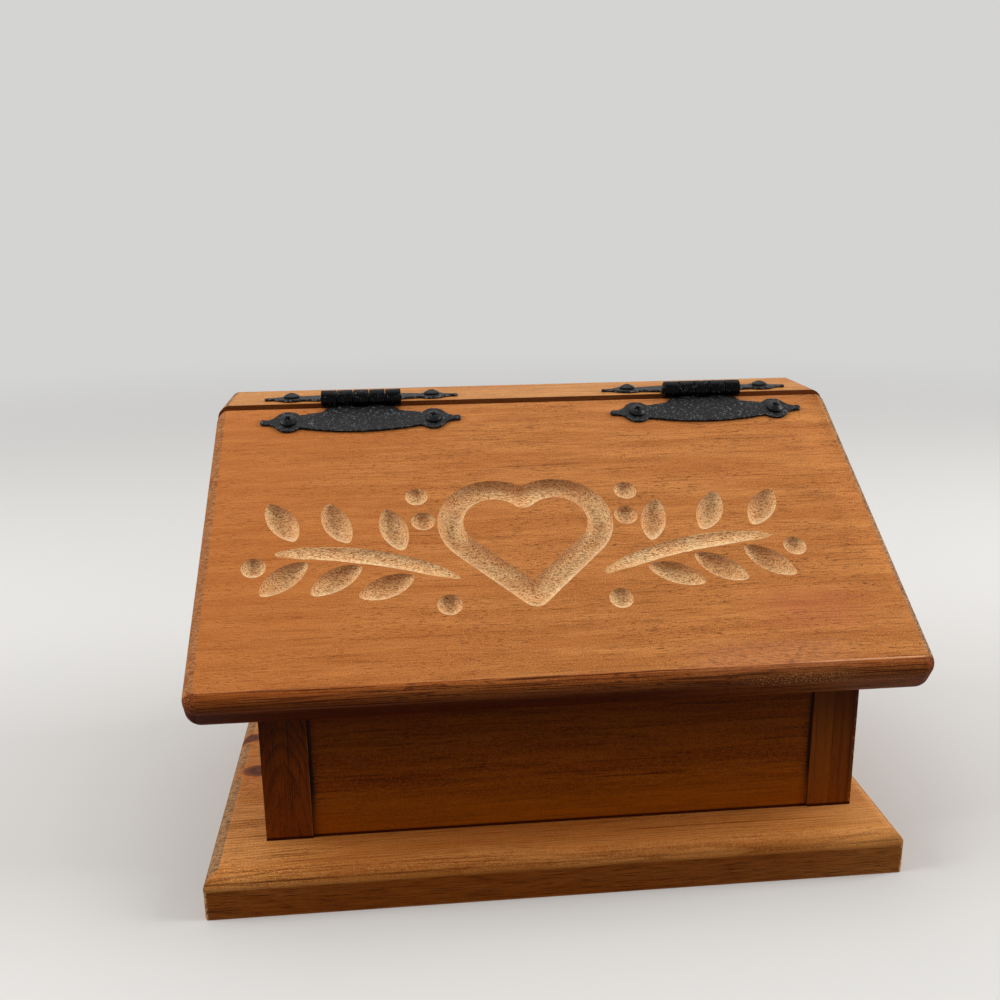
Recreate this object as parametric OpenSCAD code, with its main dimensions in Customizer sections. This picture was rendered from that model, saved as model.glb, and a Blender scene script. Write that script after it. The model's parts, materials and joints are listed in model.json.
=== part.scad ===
// Slant-top recipe card box: a pine body on a wider base, and a thick sloping lid on two surface hinges.
// The underside of the base is at Z = 0, X = 0 is the middle of the body and Y = 0 the middle of the base.

/* [Boards] */
// Thickness of every board
stock = 18; // [16:0.5:20]

/* [Body] */
// Width across the two sides
body_w = 235; // [190:1:280]
// Depth of the sides, front to back
body_d = 152; // [140:1:175]
// Height of the sides at their front edge, above the base
front_h = 55.3; // [45:0.1:65]
// Height of the sides at the back, above the base
back_h = 132.3; // [120:0.1:145]
// Depth of the level top edge of the sides, which carries the top board
ledge_d = 28.8; // [24:0.1:34]
// How far the front panel stands behind the front edges of the sides
panel_setback = 0.8; // [0:0.1:3]
// Open glue line at each end of the front and back panels
panel_gap = 0.2; // [0:0.05:0.4]

/* [Base] */
// Base that shows in front of the body
base_front = 22; // [14:1:32]
// Base that shows behind the body
base_back = 21; // [10:1:32]
// Base that shows at each end, when the body stands in the middle
base_side = 17.5; // [14:0.5:24]
// How far the base is set to the left of the body
base_shift = 4; // [0:0.5:6]

/* [Lid and top board] */
// How far the lid and the top board reach past each side
over_side = 25.5; // [20:0.5:32]
// How far the lid reaches past the front of the body, along its slope
over_front = 7.2; // [4:0.1:20]
// How far the top board reaches past the back of the body
over_back = 11; // [4:0.5:18]
// Gap under the closed lid, which hangs on its hinges
lid_gap = 0.03; // [0.01:0.01:0.1]

/* [Routed edges] */
// Radius of the router bit
round_r = 6.35; // [4:0.05:7.5]
// How far the bit stopped short of full depth on the lid and top board, which leaves a crisp edge
lid_short = 0.15; // [0.05:0.05:0.4]
// How far the bit stood out from the base, which leaves a crisp edge
base_short = 0.05; // [0.02:0.01:0.3]
// Sanded radius at the corners of the boards, seen from above
corner_r = 1.5; // [0.5:0.1:4]
// Radius of the lid's two front corners, seen from above, which were cut round before they were routed
lid_corner_r = 6.5; // [5:0.1:9]

/* [Carving] */
// Radius of the round-nosed bit that carved the lid
bit_r = 5.6; // [4:0.1:6.5]
// Depth of the heart's groove
carve_depth = 4.3; // [2:0.1:4.8]
// From the hinge line down the slope to the middle of the carving
carving_out = 86; // [70:0.5:95]
// How far the carving is set to the left of the middle of the lid
carving_shift = 9; // [0:0.5:12]
// Length of the straight sides of the heart, which is a square on its corner with two half circles
heart_side = 37; // [24:0.5:40]
// Depth of the middle of a sprig's stem, which fades out towards its ends
stem_depth = 1.5; // [0.8:0.1:2.4]
// Length of a leaf on a sprig, and the depth of its middle
sprig_leaf_l = 27; // [16:0.5:28]
sprig_leaf_depth = 4.1; // [2:0.1:4.8]
// Depth of a berry
berry_depth = 2.8; // [1:0.1:4]

/* [Hinges] */
// From the left end of the lid to the middle of the left hinge
left_hinge_in = 65.7; // [55:0.1:85]
// From the right end of the lid to the middle of the right hinge
right_hinge_in = 60.8; // [55:0.1:85]
// Thickness of a leaf
leaf_t = 1.3; // [1:0.1:1.6]
// Length of a leaf over its two tips
leaf_l = 90.6; // [86:0.1:96]
// Distance between the two screws of a leaf
screw_gap = 65.4; // [62:0.1:67]
// From the hinge line to the screws of a leaf
screw_out = 12.9; // [11.5:0.1:14]
// Radius of the round pads under the screws
pad_r = 6.5; // [5.6:0.1:7]
// From the hinge line to the lowest point of a leaf's curved edge
belly_out = 20.1; // [19:0.1:22]
// Outer radius of the rolled knuckles
barrel_r = 4; // [3.6:0.1:4.4]
// Length of the five knuckles together
barrel_l = 36.3; // [33:0.1:40]
// Gap between neighbouring knuckles
knuckle_gap = 0.15; // [0.1:0.01:0.3]
// Height of the hinge line above the faces that carry the leaves
axis_h = 2.5; // [2.2:0.1:3]
// Space between a barrel and the edges of the boards beside it
barrel_clear = 0.2; // [0.1:0.05:0.6]
// Radius of the pin
pin_r = 2; // [1.6:0.1:2.3]
// Radial clearance of the lid's knuckles on the pin
pin_clear = 0.06; // [0.03:0.01:0.09]

/* [Screws] */
// Head radius of the pan-head screws
head_r = 3.6; // [3.2:0.1:4]
// Head height of the pan-head screws
head_h = 2.2; // [1.6:0.1:2.4]
// Shank radius of the pan-head screws
shank_r = 1.7; // [1.4:0.1:1.8]
// Length of the pan-head screws under the head
screw_l = 13; // [9:0.5:14]
// Head radius of the countersunk screws under the base
base_head_r = 4; // [3.4:0.1:4.6]
// Shank radius of the countersunk screws
base_shank_r = 2; // [1.6:0.1:2.2]
// Length of the countersunk screws
base_screw_l = 38; // [30:1:50]
// From the ends of a side to the countersunk screws in its lower edge
base_screw_in = 26; // [15:1:40]

/* [Hidden] */
$fn = 64;

pine = [0.78, 0.48, 0.25];
pine_dark = [0.6, 0.34, 0.16];
black_iron = [0.12, 0.12, 0.13];

// Body: the sides slope from their front edge up to the ledge under the top board
slope = atan((back_h - front_h) / (body_d - ledge_d));
base_w = body_w + 2 * base_side;
base_d = base_front + body_d + base_back;
body_y0 = -base_d / 2 + base_front;
body_y1 = body_y0 + body_d;
front_z = stock + front_h;
back_z = stock + back_h;
top_z = back_z + stock;
inner_w = body_w - 2 * stock;
function rise(y) = front_z + (y - body_y0) * tan(slope);

// Hinge line: at axis_h above both the top board and the lid, on the plane that halves their angle
faces_y = body_y0 + (top_z - front_z - (stock + lid_gap) / cos(slope)) / tan(slope);
axis_y = faces_y - axis_h * tan(slope / 2);
axis_z = top_z + axis_h;
edge_out = sqrt(pow(barrel_r + barrel_clear, 2) - pow(axis_h, 2));
top_y0 = axis_y + edge_out;

// Lid, in its own frame: the hinge line is the origin and Y runs up the slope
lid_w = body_w + 2 * over_side;
front_corner_y = (body_y0 - axis_y) * cos(slope) + (front_z - axis_z) * sin(slope);
lid_y0 = front_corner_y - over_front;
hinge_x = [-lid_w / 2 + left_hinge_in, lid_w / 2 - right_hinge_in];

// Carving, from its middle: the heart's lower tip, and a sprig's stem as an arc from end to end with its rise
heart_tip = -30;
tip_dwell = 0.3;
stem_ends = [[25, -22], [108, -4]];
stem_rise = 6.3;
stem_tilt = 18;
stem_chord = stem_ends[1] - stem_ends[0];
stem_r = (pow(norm(stem_chord) / 2, 2) + pow(stem_rise, 2)) / (2 * stem_rise);
stem_half = asin(norm(stem_chord) / 2 / stem_r);
stem_lean = atan2(stem_chord[1], stem_chord[0]);
upper_leaves = [0.31, 0.56, 0.81];
lower_leaves = [0.2, 0.46, 0.72];
sprig_leaf_turn = [56, -48];
sprig_leaf_gap = 6;
leaf_w = 5.6;
berries = [[43, 11], [45, 25], [34, -33], [111, -10]];

// Hinges
knuckles = 5;
knuckle_l = (barrel_l - (knuckles - 1) * knuckle_gap) / knuckles;
knuckle_pitch = knuckle_l + knuckle_gap;
outer_knuckles = [0, 2, 4];
inner_knuckles = [1, 3];
plate_out = barrel_r + 0.3;
neck_w = 2 * 15.1;
shoulder_w = 2 * 17.6;
shoulder_out = 7.1;
notch_out = 8.7;
pad_join = [0.75, 0.63];
pad_pinch = 0.15;
spear_turn = 40;
tip_neck = 1.2;
tip_step = 0.1;
tip_ball_r = 1.65;
tongue_in = pin_r + 0.6;
seam_w = 0.25;
seam_depth = 0.7;
pin_fit = 0.01;
pin_dome = 0.5;

// Screws: a cross is given as shares of its recess, and each head has its own turn
screw_hole_r = shank_r + 0.3;
pilot_gap = 0.03;
point_l = 3;
point_r = 0.2;
crown_share = 0.6;
cross_share = 0.5;
cross_arm = 0.27;
cross_deep = 0.8;
cross_floor = 0.3;
base_sink = 0.3;
top_turns = [[15, 50], [65, 100]];
lid_turns = [[40, 75], [15, 50]];

// Cuts reach this far past the faces that they open, and long stock is cut from this length
past = 1;
big = 400;

// What a router bit takes off a corner at the origin, with the board at +X and -Y. It stops short by dx or dy.
module corner_cut(r, dx = 0, dy = 0) {
    difference() {
        translate([-past, dy - r]) square([r - dx + past, r - dy + past]);
        translate([r - dx, dy - r]) circle(r);
    }
}

// Section of a board, w wide and hanging t below the X axis, with its upper and lower corners cut
module board_section(w, t, dx, dy, lower) {
    difference() {
        translate([-w / 2, -t]) square([w, t]);
        for (side = [0, 1]) mirror([side, 0]) {
            translate([-w / 2, 0]) corner_cut(round_r, dx, dy);
            if (lower) translate([-w / 2, -t]) mirror([0, 1]) corner_cut(round_r, dx, dy);
        }
    }
}

// Rectangle from y0 to y1 with its corners sanded, seen from above
module board_plan(w, y0, y1) {
    difference() {
        translate([-w / 2, y0]) square([w, y1 - y0]);
        for (side = [0, 1]) mirror([side, 0]) {
            translate([-w / 2, y1]) corner_cut(corner_r);
            translate([-w / 2, y0]) mirror([0, 1]) corner_cut(corner_r);
        }
    }
}

// A board from its section across X, its section across Y and its plan, with its top face at z = 0
module routed_board(w, y0, y1, t, dx, dy, lower) {
    intersection() {
        translate([0, big / 2, 0]) rotate([90, 0, 0]) linear_extrude(big) board_section(w, t, dx, dy, lower);
        translate([-big / 2, 0, 0]) rotate([90, 0, 90]) linear_extrude(big) children();
        translate([0, 0, -big / 2]) linear_extrude(big) board_plan(w, y0, y1);
    }
}

// Corner of a board that is cut round by r seen from above and routed at both edges, about the middle of its arc
module round_corner(r, t, dy) {
    rotate(180) rotate_extrude(angle = 90) difference() {
        translate([0, -t]) square([r, t]);
        translate([r, 0]) mirror([1, 0]) corner_cut(round_r, 0, dy);
        translate([r, -t]) rotate(180) corner_cut(round_r, 0, dy);
    }
}

// Places its children in the lid's frame
module on_lid() {
    translate([0, axis_y, axis_z]) rotate([slope, 0, 0]) children();
}

// What the bit takes out of the face at z = 0 where it goes straight down
module bit_plunge(depth) {
    translate([0, 0, bit_r - depth]) sphere(bit_r);
}

// Half of the heart's groove: a straight side up from the tip, and a half circle back to the notch
module heart_half() {
    lobe_r = heart_side / 2;
    translate([0, heart_tip, bit_r - carve_depth]) rotate(-45) {
        rotate([-90, 0, 0]) cylinder(h = heart_side, r = bit_r);
        translate([-lobe_r, heart_side, 0]) rotate_extrude(angle = 180) translate([lobe_r, 0]) circle(bit_r);
    }
}

// A leaf's hollow from the origin along X: two equal arcs turned about the line between its tips
module sprig_leaf() {
    arc_r = (pow(sprig_leaf_l / 2, 2) + pow(leaf_w, 2)) / (2 * leaf_w);
    translate([sprig_leaf_l / 2, 0, leaf_w - sprig_leaf_depth]) rotate([0, 90, 0]) rotate_extrude() intersection() {
        translate([leaf_w - arc_r, 0]) circle(arc_r);
        translate([0, -sprig_leaf_l]) square([leaf_w, 2 * sprig_leaf_l]);
    }
}

// Places its children on the line between the ends of the stem, at its middle
module on_stem_chord() {
    translate((stem_ends[0] + stem_ends[1]) / 2) rotate(stem_lean) children();
}

// A stem's groove: an arc that is tilted out of the wood at both ends
module stem_groove() {
    on_stem_chord() translate([0, stem_rise, bit_r - stem_depth]) rotate([-stem_tilt, 0, 0])
        translate([0, -stem_r, 0]) rotate(90 - stem_half) rotate_extrude(angle = 2 * stem_half)
            translate([stem_r, 0]) circle(bit_r);
}

// Places its children on the stem, a share of the way along it, with X along the stem
module on_stem(share) {
    on_stem_chord() translate([0, stem_rise - stem_r]) rotate((1 - 2 * share) * stem_half)
        translate([0, stem_r]) children();
}

// A sprig to the right of the heart: stem, leaves and berries
module sprig() {
    stem_groove();
    for (side = [0, 1], share = side == 0 ? upper_leaves : lower_leaves)
        on_stem(share) rotate(sprig_leaf_turn[side]) translate([sprig_leaf_gap, 0]) sprig_leaf();
    for (spot = berries) translate(spot) bit_plunge(berry_depth);
}

// Everything that the bit takes out of the lid, with the lid's face at z = 0
module carving() {
    for (side = [0, 1]) mirror([side, 0, 0]) {
        heart_half();
        sprig();
    }
    for (y = [heart_tip, heart_tip + heart_side * sqrt(2)])
        translate([0, y]) bit_plunge(carve_depth + tip_dwell);
}

// Cross recess of a screw head, cut down from z = 0 and tapered towards its floor
module cross_recess(r) {
    arm_w = 2 * r * cross_arm;
    deep = r * cross_deep;
    flare = (1 - cross_floor) / cross_deep;
    intersection() {
        for (turn = [0, 90]) rotate(turn) translate([-r, -arm_w / 2, -deep]) cube([2 * r, arm_w, deep + past]);
        translate([0, 0, -deep]) cylinder(h = deep + past, r1 = r * cross_floor, r2 = r + past * flare);
    }
}

// Shank that hangs below z = 0 and ends in a point
module shank(r, l) {
    translate([0, 0, point_l - l]) cylinder(h = l - point_l, r = r);
    translate([0, 0, -l]) cylinder(h = point_l, r1 = point_r, r2 = r);
}

// Pan-head screw that sits on z = 0
module pan_screw(turn) {
    crown = head_h * crown_share;
    crown_r = (pow(head_r, 2) + pow(crown, 2)) / (2 * crown);
    difference() {
        union() {
            intersection() {
                cylinder(h = head_h, r = head_r);
                translate([0, 0, head_h - crown_r]) sphere(crown_r);
            }
            shank(shank_r, screw_l);
        }
        translate([0, 0, head_h]) rotate(turn) cross_recess(head_r * cross_share);
    }
}

// Places its children on the pad at end i of a leaf whose hinge line is the X axis and which lies towards -Y
module on_pad(i) {
    translate([(i - 0.5) * screw_gap, -screw_out, leaf_t - axis_h]) children();
}

// The two screws of one leaf
module leaf_screws(turns) {
    for (i = [0, 1]) on_pad(i) pan_screw(turns[i]);
}

// Pilot holes for the two screws of one leaf
module leaf_pilots() {
    for (i = [0, 1]) on_pad(i) shank(shank_r + pilot_gap, screw_l + pilot_gap);
}

// Places its children upside down where the heads of the base's screws sit
module at_base_screws() {
    for (side = [-1, 1], y = [body_y0 + base_screw_in, body_y1 - base_screw_in])
        translate([side * (body_w - stock) / 2, y, base_sink]) mirror([0, 0, 1]) children();
}

// Countersunk screw with its flat face at z = 0, made larger all round by gap for its hole
module flat_screw(gap) {
    translate([0, 0, base_shank_r - base_head_r - gap])
        cylinder(h = base_head_r - base_shank_r + gap, r1 = base_shank_r + gap, r2 = base_head_r + gap);
    shank(base_shank_r + gap, base_screw_l + gap);
}

module base_screw_holes() {
    at_base_screws() {
        flat_screw(pilot_gap);
        cylinder(h = base_sink + past, r = base_head_r + pilot_gap);
    }
}

// One end of a leaf beyond its screw: a spear drawn in by two hollow curves to a small round tip
module leaf_spear() {
    waist_r = pad_r - pad_pinch;
    hollow_r = (waist_r * sin(spear_turn) - tip_neck) / (1 - sin(spear_turn));
    reach = (waist_r + hollow_r) * cos(spear_turn);
    tip_x = (leaf_l - screw_gap) / 2 - tip_ball_r;
    difference() {
        polygon([[0, 0], pad_r * [cos(spear_turn), sin(spear_turn)], [reach, tip_neck], [reach, -tip_neck],
            pad_r * [cos(spear_turn), -sin(spear_turn)]]);
        for (side = [-1, 1]) translate([reach, side * (hollow_r + tip_neck)]) circle(hollow_r);
    }
    translate([0, tip_step - tip_neck]) square([tip_x, 2 * (tip_neck - tip_step)]);
    translate([tip_x, 0]) circle(tip_ball_r);
}

// Outline of a leaf that lies towards -Y, without its knuckles
module leaf_outline(root_w) {
    half = screw_gap / 2 - pad_r * pad_join[0];
    sag = belly_out - screw_out - pad_r * pad_join[1];
    belly_r = (pow(half, 2) + pow(sag, 2)) / (2 * sag);
    shoulder = max(root_w, shoulder_w) / 2;
    difference() {
        polygon([[-root_w / 2, -plate_out], [root_w / 2, -plate_out], [shoulder, -shoulder_out],
            [half, -notch_out], [half, -belly_out - past], [-half, -belly_out - past],
            [-half, -notch_out], [-shoulder, -shoulder_out]]);
        difference() {
            translate([-half - past, -belly_out - 2 * past])
                square([2 * (half + past), belly_out + 2 * past - screw_out]);
            translate([0, belly_r - belly_out]) circle(belly_r);
        }
    }
    for (side = [0, 1]) mirror([side, 0]) translate([screw_gap / 2, -screw_out]) {
        circle(pad_r);
        leaf_spear();
    }
}

// Places its children at the left end of a knuckle
module at_knuckle(i) {
    translate([-barrel_l / 2 + i * knuckle_pitch, 0, 0]) children();
}

// A leaf that lies towards -Y, with the hinge line as its X axis; a groove shows where each knuckle's roll ends
module leaf(root_w, own_knuckles, bore_r) {
    difference() {
        union() {
            translate([0, 0, -axis_h]) linear_extrude(leaf_t) leaf_outline(root_w);
            for (i = own_knuckles) at_knuckle(i) {
                rotate([0, 90, 0]) cylinder(h = knuckle_l, r = barrel_r);
                translate([0, -plate_out - past, -axis_h])
                    cube([knuckle_l, plate_out + past - tongue_in, leaf_t]);
            }
        }
        translate([-barrel_l, 0, 0]) rotate([0, 90, 0]) cylinder(h = 2 * barrel_l, r = bore_r);
        for (i = own_knuckles) at_knuckle(i) translate([-knuckle_gap / 2, -barrel_r, leaf_t - axis_h])
            cube([knuckle_pitch, seam_depth, seam_w]);
        for (i = [0, 1]) on_pad(i)
            translate([0, 0, -leaf_t - past]) cylinder(h = leaf_t + 2 * past, r = screw_hole_r);
    }
}

// Places its children on a hinge's line, with the lid's side of the hinge towards -Y
module on_lid_hinge(i) {
    on_lid() translate([hinge_x[i], 0, 0]) children();
}

// The same for the top board's side of the hinge
module on_top_hinge(i) {
    translate([hinge_x[i], axis_y, axis_z]) rotate(180) children();
}

module lid_leaf(i) {
    on_lid_hinge(i) leaf(neck_w, inner_knuckles, pin_r + pin_clear);
}

module top_leaf(i) {
    on_top_hinge(i) leaf(barrel_l, outer_knuckles, pin_r + pin_fit);
}

// The pin has low domes where its ends were peened over
module pin(i) {
    dome_r = (pow(pin_r, 2) + pow(pin_dome, 2)) / (2 * pin_dome);
    on_top_hinge(i) rotate([0, 90, 0]) {
        translate([0, 0, -barrel_l / 2]) cylinder(h = barrel_l, r = pin_r);
        for (side = [0, 1]) mirror([0, 0, side]) translate([0, 0, barrel_l / 2]) intersection() {
            translate([0, 0, pin_dome - dome_r]) sphere(dome_r);
            cylinder(h = pin_dome, r = pin_r);
        }
    }
}

module base_board() {
    color(pine) difference() {
        translate([-base_shift, 0, stock])
            routed_board(base_w, -base_d / 2, base_d / 2, stock, base_short, 0, false)
                board_section(base_d, stock, base_short, 0, false);
        base_screw_holes();
    }
}

module base_screws() {
    color(black_iron) at_base_screws() difference() {
        flat_screw(0);
        cross_recess(base_head_r * cross_share);
    }
}

module side_board(x) {
    color(pine_dark) difference() {
        translate([x, 0, 0]) rotate([90, 0, 90]) linear_extrude(stock)
            polygon([[body_y0, stock], [body_y1, stock], [body_y1, back_z], [body_y1 - ledge_d, back_z],
                [body_y0, front_z]]);
        base_screw_holes();
    }
}

module left_side() side_board(-body_w / 2);

module right_side() side_board(body_w / 2 - stock);

// A panel between the sides, from y0 back, whose top edge follows the slope or the ledge
module panel(y0, z0, z1) {
    w = inner_w - 2 * panel_gap;
    color(pine_dark) translate([-w / 2, 0, 0]) rotate([90, 0, 90]) linear_extrude(w)
        polygon([[y0, stock], [y0 + stock, stock], [y0 + stock, z1], [y0, z0]]);
}

module front_panel() {
    y0 = body_y0 + panel_setback;
    panel(y0, rise(y0), rise(y0 + stock));
}

module back_panel() panel(body_y1 - stock, back_z, back_z);

module top_board() {
    y1 = body_y1 + over_back;
    d = y1 - top_y0;
    color(pine) difference() {
        translate([0, 0, top_z]) routed_board(lid_w, top_y0 - corner_r, y1, stock, 0, lid_short, true)
            intersection() {
                translate([y1 - d, 0]) board_section(2 * d, stock, 0, lid_short, true);
                translate([top_y0, -stock]) square([d, stock]);
            }
        for (i = [0, 1]) on_top_hinge(i) leaf_pilots();
    }
}

module left_hinge_top_leaf() {
    color(black_iron) top_leaf(0);
}

module right_hinge_top_leaf() {
    color(black_iron) top_leaf(1);
}

module left_hinge_pin() {
    color(black_iron) pin(0);
}

module right_hinge_pin() {
    color(black_iron) pin(1);
}

module top_leaf_screws() {
    color(black_iron) for (i = [0, 1]) on_top_hinge(i) leaf_screws(top_turns[i]);
}

// The lid with square front corners. Its upper edge is bevelled, so that it hangs parallel to the top board's front.
module square_lid() {
    y1 = -edge_out;
    lean = tan(slope);
    routed_board(lid_w, lid_y0, big / 2, stock, 0, lid_short, true) difference() {
        translate([lid_y0 + big / 2, 0]) board_section(big, stock, 0, lid_short, true);
        polygon([[y1 - 2 * stock * lean, -2 * stock], [big, -2 * stock], [big, stock],
            [y1 + stock * lean, stock]]);
    }
}

// The same with its front corners cut round
module round_lid() {
    difference() {
        square_lid();
        for (side = [0, 1]) mirror([side, 0, 0]) translate([-lid_w / 2 - past, lid_y0 - past, -stock - past])
            cube([lid_corner_r + past, lid_corner_r + past, stock + 2 * past]);
    }
    for (side = [0, 1]) mirror([side, 0, 0]) translate([lid_corner_r - lid_w / 2, lid_y0 + lid_corner_r, 0])
        round_corner(lid_corner_r, stock, lid_short);
}

module lid_board() {
    color(pine) difference() {
        on_lid() translate([0, 0, -axis_h]) round_lid();
        for (i = [0, 1]) on_lid_hinge(i) leaf_pilots();
        on_lid() translate([-carving_shift, -carving_out, -axis_h]) carving();
    }
}

module left_hinge_lid_leaf() {
    color(black_iron) lid_leaf(0);
}

module right_hinge_lid_leaf() {
    color(black_iron) lid_leaf(1);
}

module lid_leaf_screws() {
    color(black_iron) for (i = [0, 1]) on_lid_hinge(i) leaf_screws(lid_turns[i]);
}

base_board();
base_screws();
left_side();
right_side();
front_panel();
back_panel();
top_board();
left_hinge_top_leaf();
right_hinge_top_leaf();
left_hinge_pin();
right_hinge_pin();
top_leaf_screws();
lid_board();
left_hinge_lid_leaf();
right_hinge_lid_leaf();
lid_leaf_screws();
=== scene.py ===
import json
import math
import random

import bpy
import bmesh
from mathutils import Matrix, Vector, kdtree


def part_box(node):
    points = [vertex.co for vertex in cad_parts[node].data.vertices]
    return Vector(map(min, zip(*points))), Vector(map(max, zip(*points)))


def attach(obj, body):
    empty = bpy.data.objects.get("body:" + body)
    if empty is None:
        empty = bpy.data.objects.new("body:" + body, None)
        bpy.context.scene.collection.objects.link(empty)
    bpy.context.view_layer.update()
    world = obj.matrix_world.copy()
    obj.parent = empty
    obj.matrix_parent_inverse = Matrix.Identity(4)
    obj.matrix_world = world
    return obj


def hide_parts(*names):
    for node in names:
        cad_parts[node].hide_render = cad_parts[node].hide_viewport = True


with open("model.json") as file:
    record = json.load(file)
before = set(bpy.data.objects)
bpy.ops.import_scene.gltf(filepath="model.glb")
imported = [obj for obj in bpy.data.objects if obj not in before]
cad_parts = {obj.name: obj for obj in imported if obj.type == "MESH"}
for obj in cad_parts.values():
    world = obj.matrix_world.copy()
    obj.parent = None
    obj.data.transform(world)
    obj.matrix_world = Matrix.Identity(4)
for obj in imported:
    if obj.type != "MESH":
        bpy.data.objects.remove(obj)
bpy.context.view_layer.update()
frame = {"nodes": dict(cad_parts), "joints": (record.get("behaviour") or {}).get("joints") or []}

# Base board
# One pine board under the box, stained honey brown and varnished to a satin sheen.
# A router has rounded its upper edge, its corners have lost chips, and a branch has left two knots.

MM = 0.001


def tint(red, green, blue):
    """A colour as Blender wants it, from its usual 0 to 255 values."""
    def linear(value):
        share = value / 255
        return share / 12.92 if share <= 0.04045 else ((share + 0.055) / 1.055) ** 2.4
    return (linear(red), linear(green), linear(blue), 1.0)


class Wire:
    """An output of a shader node, so that a pattern can be written as arithmetic."""

    def __init__(self, sheet, socket):
        self.sheet = sheet
        self.socket = socket

    def maths(self, how, *others):
        return self.sheet.node("ShaderNodeMath", [self, *others], operation=how)

    def __add__(self, other):
        return self.maths("ADD", other)

    def __sub__(self, other):
        return self.maths("SUBTRACT", other)

    def __mul__(self, other):
        return self.maths("MULTIPLY", other)

    def __truediv__(self, other):
        return self.maths("DIVIDE", other)

    def __neg__(self):
        return self.maths("MULTIPLY", -1.0)

    __radd__ = __add__
    __rmul__ = __mul__

    def __rsub__(self, other):
        return (-self) + other


class Sheet:
    """A pattern under construction, out of shader nodes."""

    def __init__(self, tree):
        self.tree = tree

    def feed(self, socket, value):
        if isinstance(value, Wire):
            self.tree.links.new(value.socket, socket)
        else:
            socket.default_value = value

    def node(self, kind, values, output=0, **settings):
        """Adds a node, fills its inputs in order or by name, and gives back one output."""
        made = self.tree.nodes.new(kind)
        for setting, value in settings.items():
            setattr(made, setting, value)
        pairs = values.items() if isinstance(values, dict) else enumerate(values)
        for key, value in pairs:
            self.feed(made.inputs[key], value)
        return Wire(self, made.outputs[output])

    def place(self):
        """Where a point lies at rest, in millimetres in the frame of the whole box."""
        metres = self.node("ShaderNodeTexCoord", [], output="Object")
        return self.node("ShaderNodeVectorMath", {0: metres, 3: 1 / MM}, operation="SCALE")

    def facing(self):
        return self.node("ShaderNodeTexCoord", [], output="Normal")

    def levelled(self, vector, slope):
        """The vector as it would be if a board that slopes about the X axis were laid level."""
        values = {"Vector": vector, "Rotation": (-slope, 0, 0)}
        return self.node("ShaderNodeMapping", values, vector_type="POINT")

    def own_place(self, centre, slope):
        """Where a point lies on a board of that slope, measured from centre."""
        back = tuple(-part for part in centre)
        moved = self.node("ShaderNodeVectorMath", [self.place(), back], operation="ADD")
        return self.levelled(moved, slope)

    def parts(self, vector):
        split = self.node("ShaderNodeSeparateXYZ", [vector])
        return [Wire(self, socket) for socket in split.socket.node.outputs]

    def point(self, x, y, z):
        return self.node("ShaderNodeCombineXYZ", [x, y, z])

    def noise(self, vector, detail=2.0, roughness=0.5):
        values = {"Vector": vector, "Scale": 1.0, "Detail": detail, "Roughness": roughness}
        return self.node("ShaderNodeTexNoise", values)

    def specks(self, spot, sizes, detail=2.0, roughness=0.5):
        """Noise whose specks have the given sizes along the three directions of spot."""
        return self.noise(self.point(*[part / size for part, size in zip(spot, sizes)]), detail, roughness)

    def over(self, value, low, high):
        """0 up to low, 1 from high on, and a smooth step between them."""
        values = {"Value": value, "From Min": low, "From Max": high}
        return self.node("ShaderNodeMapRange", values, interpolation_type="SMOOTHSTEP")

    def under(self, value, low, high):
        """1 up to low, 0 from high on, and a smooth step between them."""
        return 1.0 - self.over(value, low, high)

    def band(self, value, middle, half, soft):
        """1 within half of the middle, falling to 0 over soft."""
        away = (value - middle).maths("ABSOLUTE")
        return self.under(away, half, half + soft)

    def mixed(self, share, below, above):
        """The colour below where share is 0, and above where it is 1."""
        mix = self.tree.nodes.new("ShaderNodeMix")
        mix.data_type = "RGBA"
        self.feed(mix.inputs["Factor"], share)
        self.feed(mix.inputs[6], below)
        self.feed(mix.inputs[7], above)
        return Wire(self, mix.outputs[2])


class Finish(Sheet):
    """A material under construction."""

    def __init__(self, name):
        self.material = bpy.data.materials.new(name)
        self.material.use_nodes = True
        super().__init__(self.material.node_tree)
        self.tree.nodes.clear()
        self.surface = self.tree.nodes.new("ShaderNodeBsdfPrincipled")
        output = self.tree.nodes.new("ShaderNodeOutputMaterial")
        self.tree.links.new(self.surface.outputs["BSDF"], output.inputs["Surface"])

    def paint(self, colour, roughness, specular, metallic=0.0):
        """Gives the surface its colour, its roughness, its specular level and its share of metal."""
        inputs = self.surface.inputs
        self.feed(inputs["Base Color"], colour)
        self.feed(inputs["Roughness"], roughness)
        inputs["Specular IOR Level"].default_value = specular
        inputs["Metallic"].default_value = metallic

    def bump(self, height, depth):
        """Tilts the surface as a relief that is depth metres deep would."""
        values = {"Strength": 1.0, "Distance": depth, "Height": height}
        self.feed(self.surface.inputs["Normal"], self.node("ShaderNodeBump", values))


class Stain:
    """Colours of one board's finish.

    pale and mid lie between the growth rings and ring on them, glint is painted glints on specks of grit,
    fleck in the short dashes and red where the stain has reddened. end_pale and end_dark are those of the end
    grain.
    """

    def __init__(self, **colours):
        for name, colour in colours.items():
            setattr(self, name, tint(*colour))


open_ends = {"end_pale": (196, 150, 106), "end_dark": (82, 52, 32)}
golden_stain = Stain(glint=(248, 190, 120), pale=(230, 156, 84), mid=(212, 134, 62), ring=(118, 56, 16),
    red=(196, 110, 50), fleck=(84, 36, 8), **open_ends)
pith_sway = (26, 18)
ring_wobble = 3.2
grain_depth = 0.00012


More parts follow.
